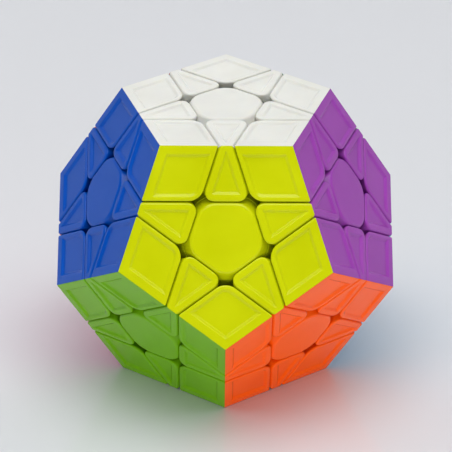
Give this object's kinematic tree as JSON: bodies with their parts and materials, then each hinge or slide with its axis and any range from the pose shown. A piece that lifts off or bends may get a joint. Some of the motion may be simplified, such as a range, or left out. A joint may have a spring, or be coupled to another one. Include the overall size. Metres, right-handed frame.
{
  "type": "dodecahedron twisty puzzle",
  "caption": "Dodecahedron twisty puzzle with coloured faces, each cut into a five-sided centre, corner and edge pieces that turn in layers about a hidden sprung core.",
  "frame": {"origin": "centre of the core, where the twelve turning axes cross; also the centre of the bounding box", "axes": "+Z is the white face's turning axis, out of the white face, and the puzzle rests on the grey face below; -Y points along the yellow face's heading"},
  "size_m": [0.0784, 0.0824, 0.0668],
  "materials": {
    "white_plastic": "smooth glossy moulded ABS, coloured through",
    "yellow_plastic": "smooth glossy moulded ABS, coloured through",
    "purple_plastic": "smooth glossy moulded ABS, coloured through",
    "dark_green_plastic": "smooth glossy moulded ABS, coloured through",
    "red_plastic": "smooth glossy moulded ABS, coloured through",
    "blue_plastic": "smooth glossy moulded ABS, coloured through",
    "lime_plastic": "smooth glossy moulded ABS, coloured through",
    "orange_plastic": "smooth glossy moulded ABS, coloured through",
    "light_blue_plastic": "smooth glossy moulded ABS, coloured through",
    "cream_plastic": "smooth glossy moulded ABS, coloured through",
    "pink_plastic": "smooth glossy moulded ABS, coloured through",
    "grey_plastic": "smooth glossy moulded ABS, coloured through",
    "core_plastic": "moulded, satin",
    "steel": "zinc plated",
    "spring_steel": "drawn wire"
  },
  "bodies": {
    "root": {"axis_screws": "steel", "axis_springs": "spring_steel", "axis_washers": "steel", "blue_centre_base": "blue_plastic", "blue_centre_cap": "blue_plastic", "blue_shells": "blue_plastic", "core": "core_plastic", "cream_centre_base": "cream_plastic", "cream_centre_cap": "cream_plastic", "cream_shells": "cream_plastic", "dark_green_centre_base": "dark_green_plastic", "dark_green_centre_cap": "dark_green_plastic", "dark_green_shells": "dark_green_plastic", "grey_centre_base": "grey_plastic", "grey_centre_cap": "grey_plastic", "grey_shells": "grey_plastic", "orange_centre_base": "orange_plastic", "orange_centre_cap": "orange_plastic", "orange_shells": "orange_plastic", "pink_centre_base": "pink_plastic", "pink_centre_cap": "pink_plastic", "pink_shells": "pink_plastic", "purple_centre_base": "purple_plastic", "purple_centre_cap": "purple_plastic", "purple_shells": "purple_plastic", "red_centre_base": "red_plastic", "red_centre_cap": "red_plastic", "red_shells": "red_plastic", "yellow_centre_base": "yellow_plastic", "yellow_centre_cap": "yellow_plastic", "yellow_shells": "yellow_plastic"},
    "white_layer": {"blue_shells_in_white_layer": "blue_plastic", "dark_green_shells_in_white_layer": "dark_green_plastic", "purple_shells_in_white_layer": "purple_plastic", "red_shells_in_white_layer": "red_plastic", "white_centre_base": "white_plastic", "white_centre_cap": "white_plastic", "white_corner_shells": "white_plastic", "white_edge_shells": "white_plastic", "yellow_shells_in_white_layer": "yellow_plastic"},
    "lime_layer": {"blue_shells_in_lime_layer": "blue_plastic", "grey_shells_in_lime_layer": "grey_plastic", "lime_centre_base": "lime_plastic", "lime_centre_cap": "lime_plastic", "lime_corner_shells": "lime_plastic", "lime_edge_shells": "lime_plastic", "orange_shells_in_lime_layer": "orange_plastic", "pink_shells_in_lime_layer": "pink_plastic", "yellow_shells_in_lime_layer": "yellow_plastic"},
    "light_blue_layer": {"cream_shells_in_light_blue_layer": "cream_plastic", "dark_green_shells_in_light_blue_layer": "dark_green_plastic", "grey_shells_in_light_blue_layer": "grey_plastic", "light_blue_centre_base": "light_blue_plastic", "light_blue_centre_cap": "light_blue_plastic", "light_blue_corner_shells": "light_blue_plastic", "light_blue_edge_shells": "light_blue_plastic", "orange_shells_in_light_blue_layer": "orange_plastic", "purple_shells_in_light_blue_layer": "purple_plastic"}
  },
  "joints": [
    {"name": "white_turn", "type": "hinge", "parent": "root", "child": "white_layer", "pos_m": [0, 0, 0], "axis": [0, 0, 1], "continuous": true},
    {"name": "lime_turn", "type": "hinge", "parent": "root", "child": "lime_layer", "pos_m": [0, 0, 0], "axis": [-0.5257, -0.7236, -0.4472], "continuous": true},
    {"name": "light_blue_turn", "type": "hinge", "parent": "root", "child": "light_blue_layer", "pos_m": [0, 0, 0], "axis": [0.8507, 0.2764, -0.4472], "continuous": true}
  ]
}
